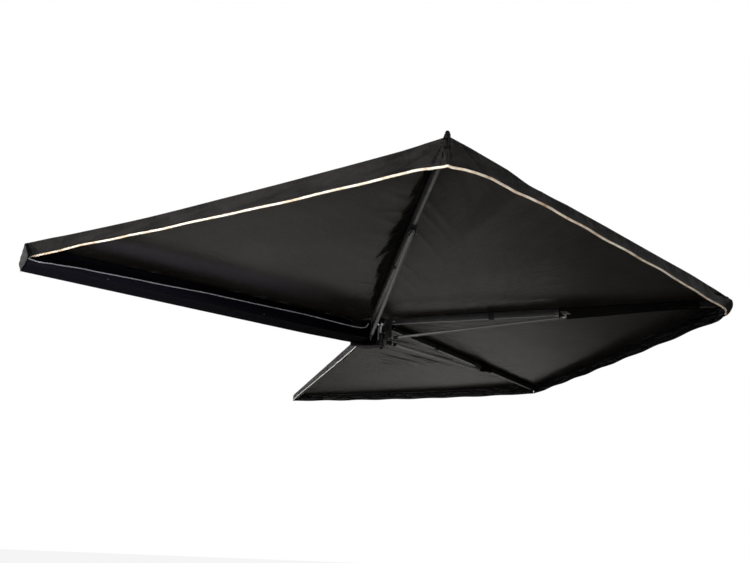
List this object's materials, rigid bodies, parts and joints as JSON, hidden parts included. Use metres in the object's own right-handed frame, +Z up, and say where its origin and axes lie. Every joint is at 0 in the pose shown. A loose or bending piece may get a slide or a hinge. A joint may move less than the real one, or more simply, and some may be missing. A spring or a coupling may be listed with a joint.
{
  "type": "vehicle side awning",
  "caption": "Fan awning for a vehicle's roof rack: arms on one upright pin swing out from a bagged rail and spread a cloth canopy with a hanging valance.",
  "frame": {"origin": "middle of the underside of the middle rack bracket's foot, between its two slots, where it rests on the roof rack", "axes": "+Z up, +Y towards the vehicle, X along the rail with the pivot pin at its +X end"},
  "size_m": [4.937, 4.7664, 0.2709],
  "materials": {
    "canopy_cloth": "coated woven canopy cloth, near black",
    "bag_vinyl": "black coated vinyl cloth with a dull sheen",
    "piping": "pale reflective piping",
    "arm_tube": "black anodised, satin",
    "rail_aluminium": "black anodised, satin",
    "black_steel": "black powder coat",
    "zinc_steel": "bright zinc",
    "black_plastic": "moulded, matt"
  },
  "bodies": {
    "base": {"mounting_rail": "rail_aluminium", "rail_cap_near": "black_plastic", "rail_cap_far": "black_plastic", "canopy_keder": "canopy_cloth", "hub_bracket": "black_steel", "pivot_pin": "zinc_steel", "pin_washer": "zinc_steel", "pin_nut": "zinc_steel", "hub_bolt_1": "zinc_steel", "hub_bolt_2": "zinc_steel", "rack_bracket_1": "black_steel", "rack_bracket_2": "black_steel", "rack_bracket_3": "black_steel", "bracket_stud_plate_1": "zinc_steel", "bracket_stud_plate_2": "zinc_steel", "bracket_stud_plate_3": "zinc_steel", "bag_back": "bag_vinyl", "bag_floor": "bag_vinyl", "bag_front": "bag_vinyl", "bag_piping": "piping", "bag_end": "bag_vinyl", "bag_lid": "bag_vinyl", "lid_strap_1": "bag_vinyl", "lid_strap_2": "bag_vinyl", "lid_strap_3": "bag_vinyl", "hub_patch": "canopy_cloth"},
    "arm_1": {"arm_1_knuckle": "black_steel", "arm_1_rafter": "arm_tube", "arm_1_brace": "arm_tube", "arm_1_brace_saddle": "black_steel", "arm_1_collar": "black_steel", "arm_1_tip_cap": "black_plastic", "canopy_panel_1": "canopy_cloth", "valance_1": "canopy_cloth"},
    "arm_2": {"arm_2_knuckle": "black_steel", "arm_2_rafter": "arm_tube", "arm_2_brace": "arm_tube", "arm_2_brace_saddle": "black_steel", "arm_2_collar": "black_steel", "arm_2_tip_cap": "black_plastic", "canopy_panel_2": "canopy_cloth", "valance_2": "canopy_cloth"},
    "arm_3": {"arm_3_knuckle": "black_steel", "arm_3_rafter": "arm_tube", "arm_3_brace": "arm_tube", "arm_3_brace_saddle": "black_steel", "arm_3_collar": "black_steel", "arm_3_tip_cap": "black_plastic", "canopy_panel_3": "canopy_cloth", "valance_3": "canopy_cloth"},
    "arm_4": {"arm_4_knuckle": "black_steel", "arm_4_rafter": "arm_tube", "arm_4_collar": "black_steel", "arm_4_tip_cap": "black_plastic", "canopy_panel_4": "canopy_cloth", "valance_4": "canopy_cloth", "end_flap": "canopy_cloth"}
  },
  "joints": [
    {"name": "arm_1_swing", "type": "hinge", "parent": "base", "child": "arm_1", "pos_m": [1.335, -0.2013, 0.1122], "axis": [0, 0, 1], "range_deg": [-68, 0], "deforming": ["canopy_panel_1", "valance_1", "bag_front", "bag_piping"]},
    {"name": "arm_2_swing", "type": "hinge", "parent": "arm_1", "child": "arm_2", "pos_m": [1.335, -0.2013, 0.1122], "axis": [0, 0, 1], "range_deg": [-66.5, 0], "deforming": ["canopy_panel_2", "valance_2"]},
    {"name": "arm_3_swing", "type": "hinge", "parent": "arm_2", "child": "arm_3", "pos_m": [1.335, -0.2013, 0.1122], "axis": [0, 0, 1], "range_deg": [-64.5, 0], "deforming": ["canopy_panel_3", "valance_3"]},
    {"name": "arm_4_swing", "type": "hinge", "parent": "arm_3", "child": "arm_4", "pos_m": [1.335, -0.2013, 0.1122], "axis": [0, 0, 1], "range_deg": [-63, 0], "deforming": ["canopy_panel_4", "valance_4"]}
  ]
}
